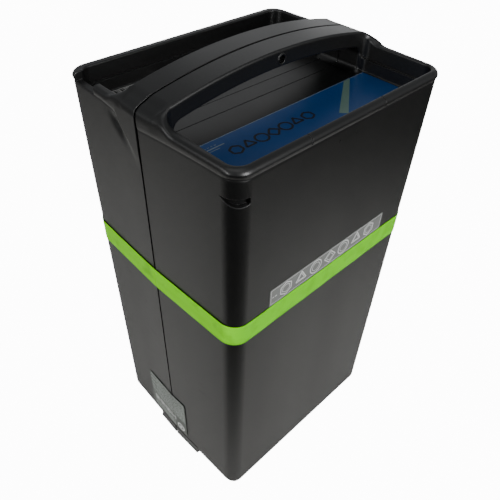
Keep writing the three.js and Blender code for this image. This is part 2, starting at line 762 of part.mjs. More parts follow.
const groupsAcross = cells.columns / cells.groupColumns;
const groupsUp = cells.rows / cells.groupRows;
for (const side of [FRONT, REAR]) {
  for (let row = 0; row < groupsUp; row++) {
    for (let column = 0; column < groupsAcross; column++) {
      const layerStart = side === FRONT ? 0 : groupsAcross * groupsUp;
      const number = layerStart + row * groupsAcross + column + 1;
      const name = `cell_group_${String(number).padStart(2, "0")}`;
      place(name, makeCellGroup(side, column, row), finishes.cellJacket());
    }
  }
}

place("cell_frame_front", makeCellFrame(FRONT), finishes.framePlastic());
place("cell_frame_rear", makeCellFrame(REAR), finishes.framePlastic());
place("middle_insulator", makeMiddleInsulator(), finishes.insulation());
place("front_foam_pad", makeFoamPad(FRONT), finishes.foam());
place("rear_foam_pad", makeFoamPad(REAR), finishes.foam());
place("left_cradle", makeCradle(LEFT), finishes.framePlastic());
place("right_cradle", makeCradle(RIGHT), finishes.framePlastic());

place("management_board", makeManagementBoard(), finishes.circuitBoard());
place("heat_sink", makeHeatSink(), finishes.aluminium());
place("main_fuse", makeMainFuse(), finishes.fuseBody());
place("positive_lead", makeLead(LEFT), finishes.redWire());
place("negative_lead", makeLead(RIGHT), finishes.blackWire());
place("balance_harness", makeBalanceHarness(), finishes.ribbon());

place("dock_housing", makeDockHousing(), finishes.connector());
place("positive_contact", makePowerContact(LEFT), finishes.copper());
place("negative_contact", makePowerContact(RIGHT), finishes.copper());
place("signal_contacts", makeSignalContacts(), finishes.copper());

export default pack;
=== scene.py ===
"""Looks of the removable battery pack: moulded case halves, films, screws, and the insides behind them."""

import functools
import math
from types import SimpleNamespace as Values

import bpy
import numpy as np
from mathutils import Matrix, Vector


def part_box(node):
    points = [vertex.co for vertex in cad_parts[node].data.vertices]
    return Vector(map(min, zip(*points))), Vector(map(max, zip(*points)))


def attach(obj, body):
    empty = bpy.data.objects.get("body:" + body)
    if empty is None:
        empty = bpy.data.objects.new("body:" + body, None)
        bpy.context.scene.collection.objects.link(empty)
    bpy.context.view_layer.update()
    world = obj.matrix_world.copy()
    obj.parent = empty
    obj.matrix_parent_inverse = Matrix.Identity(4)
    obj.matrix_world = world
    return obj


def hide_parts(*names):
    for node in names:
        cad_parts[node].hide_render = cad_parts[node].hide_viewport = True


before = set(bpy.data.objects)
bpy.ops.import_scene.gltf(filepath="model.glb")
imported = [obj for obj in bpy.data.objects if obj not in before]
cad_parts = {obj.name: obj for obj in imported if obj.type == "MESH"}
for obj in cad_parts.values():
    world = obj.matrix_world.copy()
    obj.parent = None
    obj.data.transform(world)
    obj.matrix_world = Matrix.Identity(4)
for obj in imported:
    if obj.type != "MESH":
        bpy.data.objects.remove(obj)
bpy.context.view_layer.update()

MM = 0.001
X, Y, Z = 0, 1, 2
FRONT, REAR = -1, 1
DIAGONAL = math.sqrt(0.5)
TINY = 1e-9

# ---- Driving dimensions, in millimetres ----
# A pair is a range. Where it says "zone", an effect starts at its first value and is full at its second.

CASE = Values(
    half_width_face=95.2,
    half_width_seam=97.6,
    half_depth=80.0,
    corner=12.5,
    wall=3.0,
    underside=3.0,
    bottom_edge=1.5,
    side_bottom_edge=7.0,
    rim=353.5,
)
CREASE = Values(
    height=348.4,
    left_zone=(86.0, 94.0),
    left_rise=0.6,
    left_dip=2.9,
    dip_reach=82.0,
    dip_power=2.2,
    dip_end_zone=(14.0, 40.0),
)
BEAD = Values(proud=0.8, swell_zone=(-1.8, 2.0), groove=0.25, groove_below=1.2, groove_width=0.8)
FLARE = Values(
    edge=6.0,
    edge_swing=15.0,
    swing_zone=(318.0, 347.0),
    swing_power=1.4,
    rise_zone=(316.0, 343.0),
    fade=0.85,
    fade_zone=(344.0, 355.0),
    proud=2.7,
    fold_zone=(-3.4, 3.0),
    scoop=1.8,
    scoop_offset=6.0,
    scoop_width=5.0,
    scoop_z=338.0,
    scoop_height=8.0,
)
TRAY = Values(
    half_width=90.0,
    front=75.6,
    rear=73.0,
    corner=8.0,
    floor=333.0,
    floor_edge=1.2,
    ledge_z=342.0,
    ledge=2.0,
    rim_edge=1.2,
    handle_fillet=5.0,
    line_y=15.0,
    line_radius=0.32,
    line_half=84.0,
)
HANDLE = Values(
    crown=371.0,
    radius=400.0,
    half_depth=18.0,
    side_swell=1.2,
    end_zone=(86.0, 97.0),
    edge=2.5,
    edge_growth=3.0,
    fillet=6.0,
    fillet_growth=9.0,
    shoulder=4.0,
    shoulder_growth=11.0,
    shoulder_zone=(13.0, 27.0),
    opening_crown=359.7,
    opening_radius=400.0,
    opening_half=84.0,
    opening_corner=5.0,
    opening_edge=1.4,
)
SEAM = Values(
    gap=0.15,
    edge=0.3,
    channel_half=0.75,
    channel_depth=1.7,
    wall_depth=1.8,
    wall_top=349.0,
)
NICK = Values(places=(-39.0, 28.0), half_width=0.28, depth=0.3, y=(-90.0, -60.0))
NOTCH = Values(inner_x=-86.0, y=(47.0, 69.5), floor=348.0, edge=0.7)
SLOT = Values(
    x=-91.5,
    y=-76.3,
    half_length=7.6,
    inner_x=-80.0,
    inner_y=-65.0,
    depth=3.2,
    top=335.4,
    sill=330.2,
    sill_lowest=2.5,
    sill_rise=4.8,
    sill_half=10.0,
    edge=0.45,
)
CLIP_MARK = Values(
    x=-5.0,
    half_width=8.0,
    z=341.2,
    line=0.22,
    leg=0.25,
    leg_z=(339.6, 341.4),
    depth=0.3,
    outside=1.0,
)
FOOT = Values(front=31.7, rear=26.0, rear_slope=0.25, height=12.0, edge=1.2, fillet=0.8)
DOCK_HOLE = Values(x=36.35, y=15.85, top=8.0, edge=0.4)
SCREW_EYE = Values(
    x=1.0,
    z=364.6,
    radius=2.55,
    edge=0.35,
    seat=-11.5,
    shank=1.75,
    shank_y=(-19.0, 6.0),
    ring=3.5,
    ring_half=0.3,
    ring_fillet=0.5,
)
SCREW_TUBE = Values(
    x=77.0,
    heights=(24.0, 317.0),
    radius=4.6,
    y=(-26.0, 79.0),
    head_bore=3.6,
    seat=8.0,
    shank_bore=2.05,
    shank_y=(-18.0, 81.0),
    edge=0.3,
)
BAND = Values(
    low=215.3,
    high=233.7,
    gap=0.12,
    thickness=0.35,
    side_x=90.0,
    sink=0.30,
    sink_width=1.1,
    pucker=0.22,
    pucker_y=3.2,
    pucker_width=1.8,
    edge_share=0.4,
    edge_inner=0.05,
    edge_outer=0.15,
)
# The tape's edges waver in two waves: height, turn per millimetre of X and of Y, and first turn.
WAVES = ((0.16, 0.11, 0.07, 0.0), (0.08, 0.31, -0.23, 1.0))
FILM = 0.12
FILM_GAP = 0.03
INK = 0.04
SCREW = Values(
    head_edge=0.35,
    thread=0.11,
    pitch=0.8,
    thread_inset=0.12,
    tip=1.5,
    tip_taper=0.5,
    socket_share=0.42,
    socket_depth=1.4,
    socket_edge=0.12,
)
HANDLE_BOLT = Values(seat=-11.85, head_height=2.0, head_radius=2.2, shank_radius=1.4)
CASE_BOLT = Values(head_height=2.6, head_radius=3.2, shank_radius=1.7)

# ---- Distance fields: negative inside, in millimetres ----


def join_round(a, b, radius):
    """The union of two fields with a fillet of that radius where they meet."""
    u = np.maximum(radius - a, 0)
    v = np.maximum(radius - b, 0)
    return np.maximum(radius, np.minimum(a, b)) - np.hypot(u, v)


def meet_round(a, b, radius):
    """The intersection of two fields with its edge rounded to that radius."""
    u = np.maximum(radius + a, 0)
    v = np.maximum(radius + b, 0)
    return np.minimum(-radius, np.maximum(a, b)) + np.hypot(u, v)


def cut_round(a, b, radius):
    """The first field without the second, with the cut's edge rounded to that radius."""
    return meet_round(a, -b, radius)


def step_up(low, high, value):
    """Rises smoothly from 0 at low to 1 at high."""
    t = np.clip((value - low) / (high - low), 0, 1)
    return t * t * (3 - 2 * t)


def hill(value, width):
    """A smooth hill of height 1 round the value 0."""
    return np.exp(-((value / width) ** 2))


def meet(*fields):
    """The intersection of fields, with a sharp edge."""
    return functools.reduce(np.maximum, fields)


def cut(a, b):
    """The first field without the second, with a sharp edge."""
    return np.maximum(a, -b)


def span(value, low, high):
    """Distance to the slab between two planes."""
    return np.maximum(low - value, value - high)


def rounded_rectangle(x, y, half_x, half_y, radius):
    qx = np.abs(x) - (half_x - radius)
    qy = np.abs(y) - (half_y - radius)
    return np.hypot(np.maximum(qx, 0), np.maximum(qy, 0)) + np.minimum(np.maximum(qx, qy), 0) - radius


def arch_field(x, z, crown, radius):
    """An arch across X whose highest point is the crown."""
    return np.hypot(x, z - (crown - radius)) - radius


# ---- Shape of the case ----


def half_width(y):
    """The side walls draw in from the seam to the faces."""
    straight = CASE.half_depth - CASE.corner
    taper = CASE.half_width_seam - CASE.half_width_face
    return CASE.half_width_seam - taper * np.minimum(np.abs(y), straight) / straight


def plan_field(x, y):
    return rounded_rectangle(x, y, half_width(y), CASE.half_depth, CASE.corner)


def crease_height(x, y):
    """The crease under the bead dips on the left wall towards the seam."""
    on_left = step_up(*CREASE.left_zone, -x)
    before_seam = np.clip((y + CREASE.dip_reach) / CREASE.dip_reach, 0, 1) ** CREASE.dip_power
    behind_seam = 1 - step_up(*CREASE.dip_end_zone, y)
    dip = CREASE.left_dip * np.where(y <= 0, before_seam, behind_seam)
    return CREASE.height + on_left * (CREASE.left_rise - dip)


def bead_outset(above):
    """The rim's bead swells out of the wall above the crease, and a shallow groove runs just under it."""
    groove = BEAD.groove * hill(above + BEAD.groove_below, BEAD.groove_width)
    return BEAD.proud * step_up(*BEAD.swell_zone, above) - groove


def seam_flare(x, y, z):
    """Beside the seam the rear half stands proud under the handle's left end, next to a shallow scoop."""
    swing = step_up(*FLARE.swing_zone, z) ** FLARE.swing_power
    past_edge = y - (FLARE.edge + FLARE.edge_swing * swing)
    rise = step_up(*FLARE.rise_zone, z) * (1 - FLARE.fade * step_up(*FLARE.fade_zone, z))
    proud = FLARE.proud * rise * (1 - step_up(*FLARE.fold_zone, past_edge)) * (y > 0)
    across = (past_edge - FLARE.scoop_offset) / FLARE.scoop_width
    up = (z - FLARE.scoop_z) / FLARE.scoop_height
    scoop = FLARE.scoop * np.exp(-(across**2) - up**2)
    return np.where(x < 0, proud - scoop * (y > 0), 0)


def top_field(x, y, z):
    """The upper skin of the case: the flat rim, and the handle's arch flowing down into it at both ends."""
    at_end = step_up(*HANDLE.end_zone, np.abs(x))
    arch = arch_field(x, z, HANDLE.crown, HANDLE.radius)
    sides = np.abs(y) - HANDLE.half_depth - HANDLE.side_swell
    bar = meet_round(arch, sides, HANDLE.edge + HANDLE.edge_growth * at_end)
    return join_round(z - CASE.rim, bar, HANDLE.fillet + HANDLE.fillet_growth * at_end)


def shoulder_radius(y):
    """The outer edge of the top is rounded, and more so where the handle rises above the rim."""
    return HANDLE.shoulder + HANDLE.shoulder_growth * (1 - step_up(*HANDLE.shoulder_zone, np.abs(y)))


def tray_field(x, y, z):
    """The tray's space, wider above its ledge than below."""
    middle = (TRAY.rear - TRAY.front) / 2
    depth = (TRAY.rear + TRAY.front) / 2
    plan = rounded_rectangle(x, y - middle, TRAY.half_width, depth, TRAY.corner)
    upper = meet(plan, TRAY.ledge_z - z)
    lower = meet_round(plan + TRAY.ledge, TRAY.floor - z, TRAY.floor_edge)
    return np.minimum(upper, lower)


def open_tray_field(x, y, z):
    """The tray's space without the handle that crosses it and its two ends."""
    opening = meet_round(
        arch_field(x, z, HANDLE.opening_crown, HANDLE.opening_radius),
        np.abs(x) - HANDLE.opening_half,
        HANDLE.opening_corner,
    )
    beside = HANDLE.half_depth - np.abs(y)
    around = join_round(beside, opening, HANDLE.opening_edge)
    return meet_round(tray_field(x, y, z), around, TRAY.handle_fillet)


def cut_nicks(body, x, y, z):
    """Two hair-thin nicks across the bead of the front rim."""
    for nick_x in NICK.places:
        across = np.abs(x - nick_x) - NICK.half_width
        body = cut(body, meet(across, span(y, *NICK.y), CREASE.height - z, -NICK.depth - body))
    return body


def cut_rim_notch(body, x, y, z):
    """The lowered stretch of the rim at the rear end of the left wall."""
    notch = meet(x - NOTCH.inner_x, span(y, *NOTCH.y), NOTCH.floor - z)
    return cut_round(body, notch, NOTCH.edge)


def shape_bottom(body, x, y, z):
    """Rounds the bottom, most along the side walls."""
    bottom = CASE.underside - z
    side_bottom = meet_round(np.abs(x) - half_width(y), bottom, CASE.side_bottom_edge)
    return meet_round(body, meet(side_bottom, bottom), CASE.bottom_edge)


def add_foot(body, plan, y, z):
    """The foot that the case stands on, a block from wall to wall."""
    foot = meet_round(span(y, -FOOT.front, FOOT.rear - FOOT.rear_slope * z), -z, FOOT.edge)
    return join_round(body, meet(foot, plan, z - FOOT.height), FOOT.fillet)


def hollow_out(body, x, y, z):
    inner_z = span(z, CASE.underside + CASE.wall, TRAY.floor - CASE.wall)
    return cut(body, meet(plan_field(x, y) + CASE.wall, inner_z))


def add_screw_tubes(body, x, y, z):
    """The tubes inside the case that its closing screws run in, and the bores through them."""
    tubes = np.inf
    bores = np.inf
    for side in (-1, 1):
        for height in SCREW_TUBE.heights:
            away = np.hypot(x - side * SCREW_TUBE.x, z - height)
            tubes = np.minimum(tubes, meet(away - SCREW_TUBE.radius, span(y, *SCREW_TUBE.y)))
            head_bore = meet(away - SCREW_TUBE.head_bore, SCREW_TUBE.seat - y)
            shank_bore = meet(away - SCREW_TUBE.shank_bore, span(y, *SCREW_TUBE.shank_y))
            bores = np.minimum(bores, np.minimum(head_bore, shank_bore))
    return cut_round(np.minimum(body, tubes), bores, SCREW_TUBE.edge)


def cut_dock_hole(body, x, y, z):
    hole = meet(np.abs(x) - DOCK_HOLE.x, np.abs(y) - DOCK_HOLE.y, z - DOCK_HOLE.top)
    return cut_round(body, hole, DOCK_HOLE.edge)


def add_screw_eye(body, x, y, z):
    """The stepped screw hole in the handle's front skirt, with a low ring round it."""
    away = np.hypot(x - SCREW_EYE.x, z - SCREW_EYE.z)
    ring = meet(away - SCREW_EYE.ring, np.abs(y + HANDLE.half_depth) - SCREW_EYE.ring_half)
    body = join_round(body, ring, SCREW_EYE.ring_fillet)
    head_bore = meet(away - SCREW_EYE.radius, y - SCREW_EYE.seat)
    body = cut_round(body, head_bore, SCREW_EYE.edge)
    return cut(body, meet(away - SCREW_EYE.shank, span(y, *SCREW_EYE.shank_y)))


def cut_corner_slot(body, x, y, z):
    """The slot across the front left corner: flat on top, with a sill that rises to both sides."""
    along = ((x - SLOT.x) - (y - SLOT.y)) * DIAGONAL
    off_lowest = (along - SLOT.sill_lowest) / SLOT.sill_half
    sill = SLOT.sill + SLOT.sill_rise * off_lowest**2
    at_corner = meet(x - SLOT.inner_x, y - SLOT.inner_y, np.abs(along) - SLOT.half_length)
    slot = meet(at_corner, -SLOT.depth - plan_field(x, y), span(z, sill, SLOT.top))
    return cut_round(body, slot, SLOT.edge)


def cut_clip_mark(body, x, y, z):
    """The shallow clip mark on the front: a line with a short leg at each end."""
    middle, half = CLIP_MARK.x, CLIP_MARK.half_width
    line = meet(span(x, middle - half, middle + half), np.abs(z - CLIP_MARK.z) - CLIP_MARK.line)
    legs = meet(np.abs(np.abs(x - middle) - half) - CLIP_MARK.leg, span(z, *CLIP_MARK.leg_z))
    face = -CASE.half_depth
    in_face = span(y, face - CLIP_MARK.outside, face + CLIP_MARK.depth)
    return cut(body, meet(np.minimum(line, legs), in_face))


def cut_tray_line(body, x, y, z):
    """The fine joint line across the tray's floor."""
    line = np.hypot(y - TRAY.line_y, z - TRAY.floor) - TRAY.line_radius
    return cut(body, meet(line, np.abs(x) - TRAY.line_half))


SMALL_CUTS = (cut_corner_slot, cut_clip_mark, cut_tray_line)


def case_field(x, y, z):
    """The whole case: walls, top and tray first, then everything that is cut into them or added."""
    plan = plan_field(x, y) - seam_flare(x, y, z)
    walls = plan - bead_outset(z - crease_height(x, y))
    body = meet_round(walls, top_field(x, y, z), shoulder_radius(y))
    body = cut_round(body, open_tray_field(x, y, z), TRAY.rim_edge)
    for change in (cut_nicks, cut_rim_notch, shape_bottom):
        body = change(body, x, y, z)
    body = add_foot(body, plan, y, z)
    for change in (hollow_out, add_screw_tubes, cut_dock_hole, add_screw_eye, *SMALL_CUTS):
        body = change(body, x, y, z)
    return body


def half_field(side):
    """One half of the case, with its seam edge slightly rounded and a channel along the seam."""

    def field(x, y, z):
        body = case_field(x, y, z)
        at_wall = np.minimum(-SEAM.wall_depth - plan_field(x, y), SEAM.wall_top - z)
        channel = meet(-SEAM.channel_depth - body, side * y - SEAM.channel_half, at_wall)
        half = meet_round(body, SEAM.gap - side * y, SEAM.edge)
        return cut_round(half, channel, SEAM.edge)

    return field


# ---- Surface of a field ----

CORNERS = [(i, j, k) for i in (0, 1) for j in (0, 1) for k in (0, 1)]
EDGES = [(a, b) for a in CORNERS for b in CORNERS if a < b and sum(abs(p - q) for p, q in zip(a, b)) == 1]
SETTLE_ROUNDS = 3
SETTLE_SHARE = 0.4
SLOPE_REACH = 0.03
LEAST_SLOPE = 0.1


def grid_line(*runs):
    """Grid planes through runs of (start, stop, step)."""
    parts = [np.arange(start, stop, step) for start, stop, step in runs]
    return np.append(np.concatenate(parts), runs[-1][1])


def crossing_mean(values, planes, cells):
    """For each cell, the mean of the points where the surface crosses its edges."""
    total = np.zeros((len(cells), 3))
    hits = np.zeros(len(cells))
    for a, b in EDGES:
        start, stop = cells + a, cells + b
        va = values[tuple(start.T)]
        vb = values[tuple(stop.T)]
        crossed = (va < 0) != (vb < 0)
        share = np.where(crossed, va / np.where(crossed, va - vb, 1), 0)
        pa = np.stack([plane[start[:, n]] for n, plane in enumerate(planes)], 1)
        pb = np.stack([plane[stop[:, n]] for n, plane in enumerate(planes)], 1)
        total += np.where(crossed[:, None], pa + (pb - pa) * share[:, None], 0)
        hits += crossed
    return total / hits[:, None]


def gradient_at(field, points):
    columns = []
    for axis in (X, Y, Z):
        shift = np.zeros(3)
        shift[axis] = SLOPE_REACH
        ahead = field(*(points + shift).T)
        behind = field(*(points - shift).T)
        columns.append((ahead - behind) / (2 * SLOPE_REACH))
    return np.stack(columns, 1)


def settle(field, points, limit):
    """Moves points along the gradient onto the surface, by at most limit in each round."""
    for _ in range(SETTLE_ROUNDS):
        slope = gradient_at(field, points)
        square = np.maximum((slope**2).sum(1), LEAST_SLOPE)
        move = slope * (field(*points.T) / square)[:, None]
        length = np.linalg.norm(move, axis=1)
        points = points - move * np.minimum(1, limit / np.maximum(length, TINY))[:, None]
    return points


def crossing_cells(inside):
    """The grid cells that the surface passes through."""
    nx, ny, nz = (n - 1 for n in inside.shape)
    count = np.zeros((nx, ny, nz), np.uint8)
    for i, j, k in CORNERS:
        count += inside[i : i + nx, j : j + ny, k : k + nz]
    return np.argwhere((count > 0) & (count < len(CORNERS)))


def surface_quads(inside, index):
    """One quad across each grid edge that the surface crosses, turned to face outwards."""
    quads = []
    for axis in (X, Y, Z):
        second, third = (axis + 1) % 3, (axis + 2) % 3
        solid = np.moveaxis(inside, (axis, second, third), (0, 1, 2))
        order = np.moveaxis(index, (axis, second, third), (0, 1, 2))
        here = solid[:-1, 1:-1, 1:-1]
        there = solid[1:, 1:-1, 1:-1]
        ring = np.stack([order[:, :-1, :-1], order[:, 1:, :-1], order[:, 1:, 1:], order[:, :-1, 1:]], -1)
        quads.append(ring[here & ~there])
        quads.append(ring[~here & there][:, ::-1])
    return np.concatenate(quads)


def surface_of(field, planes):
    """Points, quads and normals of the zero surface of a field on a grid of uneven planes."""
    xs, ys, zs = planes
    values = field(xs[:, None, None], ys[None, :, None], zs[None, None, :])
    values = np.ascontiguousarray(np.broadcast_to(values, (len(xs), len(ys), len(zs))))
    inside = values < 0
    cells = crossing_cells(inside)
    index = np.full([n - 1 for n in inside.shape], -1)
    index[tuple(cells.T)] = np.arange(len(cells))
    size = np.min([np.diff(plane)[cells[:, n]] for n, plane in enumerate(planes)], axis=0)
    points = settle(field, crossing_mean(values, planes, cells), SETTLE_SHARE * size)
    normals = gradient_at(field, points)
    normals /= np.maximum(np.linalg.norm(normals, axis=1), TINY)[:, None]
    return points, surface_quads(inside, index), normals


# ---- Meshes ----


def add_piece(name, points, faces, smooth=True):
    """A mesh object from points in millimetres."""
    mesh = bpy.data.meshes.new(name)
    mesh.from_pydata((np.asarray(points, float) * MM).tolist(), [], [list(map(int, f)) for f in faces])
    mesh.validate()
    mesh.polygons.foreach_set("use_smooth", [smooth] * len(mesh.polygons))
    piece = bpy.data.objects.new(name, mesh)
    bpy.context.scene.collection.objects.link(piece)
    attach(piece, "root")
    return piece


def add_moulded_piece(name, node, material, field, planes):
    """The surface of a field, shaded by the field's own normals, in place of a CAD node."""
    points, quads, normals = surface_of(field, planes)
    piece = add_piece(name, points, quads)
    piece.data.normals_split_custom_set_from_vertices(normals.tolist())
    piece.data.materials.append(material)
    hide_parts(node)


# Runs of grid planes, (start, stop, step) in millimetres: close together where there is fine detail.
X_PLANES = (
    (-99.6, -81.8, 0.45),
    (-81.8, -72.4, 0.9),
    (-72.4, -40.0, 2.4),
    (-40.0, -38.0, 0.2),
    (-38.0, -15.0, 2.3),
    (-15.0, -12.0, 0.25),
    (-12.0, -4.0, 1.6),
    (-4.0, 6.0, 0.4),
    (6.0, 27.0, 2.1),
    (27.0, 29.0, 0.2),
    (29.0, 72.4, 2.4),
    (72.4, 81.8, 0.9),
    (81.8, 99.6, 0.45),
)
Y_PLANES = (
    (0.01, 1.4, 0.12),
    (1.4, 14.4, 1.3),
    (14.4, 20.8, 0.25),
    (20.8, 46.0, 1.4),
    (46.0, 48.4, 0.4),
    (48.4, 68.4, 2.0),
    (68.4, 81.8, 0.45),
)
Z_PLANES = (
    (-1.2, 13.2, 0.6),
    (13.2, 19.2, 2.0),
    (19.2, 28.8, 0.6),
    (28.8, 310.0, 6.25),
    (310.0, 325.0, 0.75),
    (325.0, 372.4, 0.4),
)


def make_shell(side, name, node):
    ys = np.sort(side * grid_line(*Y_PLANES))
    planes = (grid_line(*X_PLANES), ys, grid_line(*Z_PLANES))
    add_moulded_piece(name, node, case_plastic, half_field(side), planes)


# ---- Materials ----

NOISE_MIDDLE = (0.3, 0.7)


def tone(red, green, blue):
    return (red, green, blue, 1.0)


def scaled(colour, factor):
    return tone(*(min(channel * factor, 1.0) for channel in colour[:3]))


DUST = tone(0.20, 0.20, 0.19)
BLACK = tone(0, 0, 0)
WHITE = tone(1, 1, 1)


class Nodes:
    """Short calls for building a material's node tree."""

    def __init__(self, name):
        self.material = bpy.data.materials.new(name)
        self.material.use_nodes = True
        self.tree = self.material.node_tree
        self.shader = self.tree.nodes["Principled BSDF"]
        self.place = self.add("ShaderNodeTexCoord").outputs["Object"]

    def add(self, kind, inputs=None, **settings):
        node = self.tree.nodes.new(kind)
        for key, value in settings.items():
            setattr(node, key, value)
        for key, value in (inputs or {}).items():
            self.feed(node.inputs[key], value)
        return node

    def feed(self, socket, value):
        if isinstance(value, bpy.types.NodeSocket):
            self.tree.links.new(value, socket)
        else:
            socket.default_value = value

    def noise(self, scale, detail=3.0, stretch=(1, 1, 1), roughness=0.5):
        mapping = self.add("ShaderNodeMapping", {"Vector": self.place, "Scale": stretch})
        texture = self.add(
            "ShaderNodeTexNoise",
            {"Vector": mapping.outputs[0], "Scale": scale, "Detail": detail, "Roughness": roughness},
        )
        return texture.outputs["Fac"]

    def remap(self, value, low, high, to_low, to_high, curve="LINEAR"):
        node = self.add(
            "ShaderNodeMapRange",
            {"Value": value, "From Min": low, "From Max": high, "To Min": to_low, "To Max": to_high},
            interpolation_type=curve,
        )
        return node.outputs["Result"]

    def vary(self, noise, low, high):
        """Spreads the middle of a noise's range over low to high."""
        return self.remap(noise, *NOISE_MIDDLE, low, high)

    def fade(self, value, zone, start, stop):
        """Goes smoothly from start to stop as the value crosses the zone."""
        return self.remap(value, *zone, start, stop, "SMOOTHSTEP")

    def mix(self, share, a, b):
        node = self.add("ShaderNodeMix", data_type="RGBA")
        self.feed(node.inputs["Factor"], share)
        self.feed(node.inputs["A"], a)
        self.feed(node.inputs["B"], b)
        return node.outputs["Result"]

    def math(self, operation, a, b):
        node = self.add("ShaderNodeMath", operation=operation)
        self.feed(node.inputs[0], a)
        self.feed(node.inputs[1], b)
        return node.outputs[0]

    def times(self, a, b):
        return self.math("MULTIPLY", a, b)

    def axis(self, name):
        split = self.add("ShaderNodeSeparateXYZ", {"Vector": self.place})
        return split.outputs[name]

    def bump(self, height, strength, distance, below=None):
        node = self.add("ShaderNodeBump", {"Height": height, "Strength": strength, "Distance": distance})
        if below is not None:
            self.feed(node.inputs["Normal"], below)
        return node.outputs["Normal"]

    def set(self, **values):
        for key, value in values.items():
            self.feed(self.shader.inputs[key.replace("_", " ")], value)


def make_case_plastic():
    """Black satin moulding: fine grain, faint flow streaks, dust and pale rub marks."""
    n = Nodes("case_plastic")
    rub = n.remap(n.noise(38, 8, stretch=(1, 1, 2.4), roughness=0.7), 0.60, 0.78, 0, 1)
    speck = n.remap(n.noise(420, 3), 0.70, 0.80, 0, 1)
    base = n.mix(n.noise(14, 4), tone(0.0016, 0.0017, 0.0018), tone(0.0030, 0.0030, 0.0029))
    rubbed = n.mix(n.times(rub, 0.35), base, tone(0.016, 0.016, 0.015))
    dusty = n.mix(n.times(speck, 0.25), rubbed, tone(0.035, 0.034, 0.031))
    satin = n.vary(n.noise(9, 3, stretch=(1.0, 1.0, 0.12)), 0.33, 0.41)
    worn = n.math("ADD", satin, n.times(rub, 0.06))
    coarse = n.bump(n.noise(900, 2), 0.05, 0.0003)
    grain = n.bump(n.noise(2600, 2), 0.06, 0.0001, coarse)
    n.set(Base_Color=dusty, Roughness=worn, Normal=grain, IOR=1.5, Specular_IOR_Level=0.5)
    return n.material


def make_grained(name, colour, roughness, spread, scale, grain, bump):
    """A plain moulded, cast or coated surface: mottled colour, uneven gloss and a fine grain."""
    n = Nodes(name)
    colour = n.mix(n.noise(scale, 5), scaled(colour, 1 - spread), scaled(colour, 1 + spread))
    gloss = n.vary(n.noise(scale * 3, 3), roughness * 0.85, min(roughness * 1.15, 1))
    n.set(Base_Color=colour, Roughness=gloss, Normal=n.bump(n.noise(grain, 2), bump, 0.0003))
    return n.material


def make_film(name, colour, roughness, wrinkle=0.1, coat=0.0, cloudy=0.18, dust=0.12):
    """A printed film or its ink: uneven colour, pale scuffs, and soft wrinkles that catch the light."""
    n = Nodes(name)
    scuff = n.remap(n.noise(160, 6, stretch=(1, 2.2, 1)), 0.52, 0.85, 0, dust)
    colour = n.mix(n.noise(22, 5), scaled(colour, 1 - cloudy), scaled(colour, 1 + cloudy))
    colour = n.mix(scuff, colour, DUST)
    wave = n.noise(26, 2, stretch=(1, 0.35, 1))
    gloss = n.vary(n.noise(90, 4), roughness * 0.92, roughness * 1.1)
    n.set(Base_Color=colour, Roughness=gloss, Normal=n.bump(wave, wrinkle, 0.002))
    n.set(Coat_Weight=coat, Coat_Roughness=0.12)
    return n.material


def make_band_film():
    """Bright green adhesive tape: lengthwise streaks, darker smudges, and a painted shade that gives the
    front face a deeper green.
    """
    n = Nodes("band_film")
    streak = n.noise(14, 4, stretch=(0.25, 0.25, 6))
    bright = n.mix(streak, tone(0.19, 0.74, 0.0), tone(0.28, 0.94, 0.0))
    # Painted shade: the front face gets a deeper green than the rest of the same tape, fading out round the
    # front corners.
    front_shade_fade = n.remap(n.axis("Y"), -0.082, -0.074, 0, 1)
    bright = n.mix(front_shade_fade, tone(0.135, 0.58, 0.001), bright)
    smudge = n.remap(n.noise(70, 7), 0.52, 0.78, 0, 0.6)
    dirty = n.mix(smudge, bright, tone(0.10, 0.40, 0.01))
    wave = n.noise(40, 2, stretch=(1, 1, 0.3))
    gloss = n.vary(n.noise(120, 4), 0.38, 0.55)
    n.set(Base_Color=dirty, Roughness=gloss, Normal=n.bump(wave, 0.2, 0.001), Specular_IOR_Level=0.06)
    return n.material


def make_metal(name, colour, roughness, along=(1, 1, 8)):
    """Brushed or drawn metal with faint stains."""
    n = Nodes(name)
    brush = n.noise(300, 3, stretch=along)
    stain = n.remap(n.noise(40, 5), 0.55, 0.8, 0, 0.5)
    colour = n.mix(stain, colour, scaled(colour, 0.6))
    gloss = n.vary(brush, roughness * 0.75, roughness * 1.3)
    n.set(Base_Color=colour, Roughness=gloss, Metallic=1.0, Normal=n.bump(brush, 0.1, 0.0002))
    return n.material


def make_circuit_board():
    """Green solder mask with lighter tracks showing through, and pale solder dots."""
    n = Nodes("circuit_board")
    bricks = n.add("ShaderNodeTexBrick", {"Vector": n.place, "Scale": 160.0, "Mortar Size": 0.03})
    tracks = bricks.outputs["Fac"]
    mask = n.mix(n.noise(50, 3), tone(0.010, 0.085, 0.035), tone(0.016, 0.12, 0.05))
    board = n.mix(n.times(tracks, 0.5), mask, tone(0.05, 0.25, 0.09))
    dots = n.add("ShaderNodeTexVoronoi", {"Vector": n.place, "Scale": 420.0})
    solder = n.remap(dots.outputs["Distance"], 0.10, 0.16, 1, 0)
    board = n.mix(solder, board, tone(0.6, 0.6, 0.58))
    n.set(Base_Color=board, Roughness=0.35, Normal=n.bump(tracks, 0.2, 0.0002))
    return n.material


def make_cell_jacket():
    """Shrink-wrapped cells: satin sleeve with fine lengthwise folds."""
    n = Nodes("cell_jacket")
    folds = n.noise(220, 3, stretch=(1, 0.08, 1))
    colour = n.mix(n.noise(30, 4), tone(0.02, 0.16, 0.20), tone(0.03, 0.22, 0.26))
    n.set(Base_Color=colour, Roughness=n.vary(folds, 0.28, 0.42), Normal=n.bump(folds, 0.2, 0.0004))
    return n.material


# ---- Films and their prints ----

SHEET_ROWS = 6
SHEET_COLUMNS = 8
CORNER_ANGLES = range(0, 91, 15)


